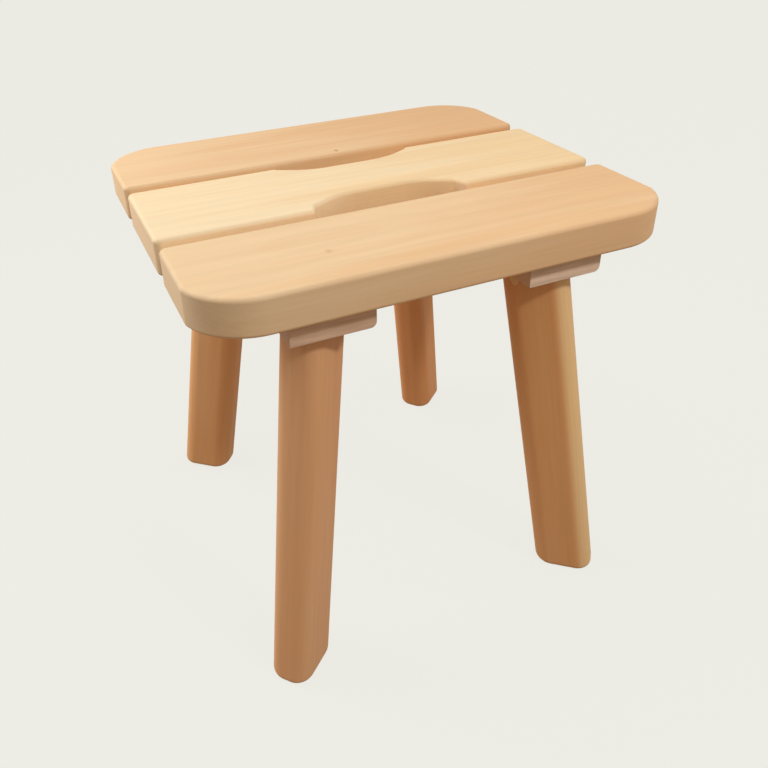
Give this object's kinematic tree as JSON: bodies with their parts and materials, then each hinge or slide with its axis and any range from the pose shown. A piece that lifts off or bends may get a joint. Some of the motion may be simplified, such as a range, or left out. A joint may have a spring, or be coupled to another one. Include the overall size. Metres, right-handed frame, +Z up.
{
  "type": "sauna stool",
  "caption": "Low slatted wooden stool with two hand grips in the middle slat, two under-battens and splayed board legs.",
  "frame": {"origin": "on the floor under the middle of the stool", "axes": "+X along the slats to the right, +Y to the back, +Z up"},
  "size_m": [0.4, 0.3688, 0.388],
  "materials": {
    "outer_slat_wood": "fine-sanded, untreated alder, warm and pale",
    "middle_slat_wood": "fine-sanded, untreated alder, paler and yellower board",
    "batten_wood": "planed, untreated aspen",
    "leg_wood": "fine-sanded, untreated red alder",
    "dowel_wood": "turned beech",
    "plug_wood": "cut alder plug, end grain showing",
    "screw_steel": "plain stainless screw"
  },
  "bodies": {
    "root": {"slat_front": "outer_slat_wood", "slat_middle": "middle_slat_wood", "slat_rear": "outer_slat_wood", "batten_left": "batten_wood", "batten_right": "batten_wood", "leg_front_left": "leg_wood", "leg_front_right": "leg_wood", "leg_rear_left": "leg_wood", "leg_rear_right": "leg_wood", "dowels_front_left": "dowel_wood", "dowels_front_right": "dowel_wood", "dowels_rear_left": "dowel_wood", "dowels_rear_right": "dowel_wood", "leg_screw_front_left": "screw_steel", "leg_screw_front_right": "screw_steel", "leg_screw_rear_left": "screw_steel", "leg_screw_rear_right": "screw_steel", "plug_front_left": "plug_wood", "plug_front_right": "plug_wood", "plug_rear_left": "plug_wood", "plug_rear_right": "plug_wood", "seat_screws_front_left": "screw_steel", "seat_screws_front_right": "screw_steel", "seat_screws_middle_left": "screw_steel", "seat_screws_middle_right": "screw_steel", "seat_screws_rear_left": "screw_steel", "seat_screws_rear_right": "screw_steel"}
  },
  "joints": []
}
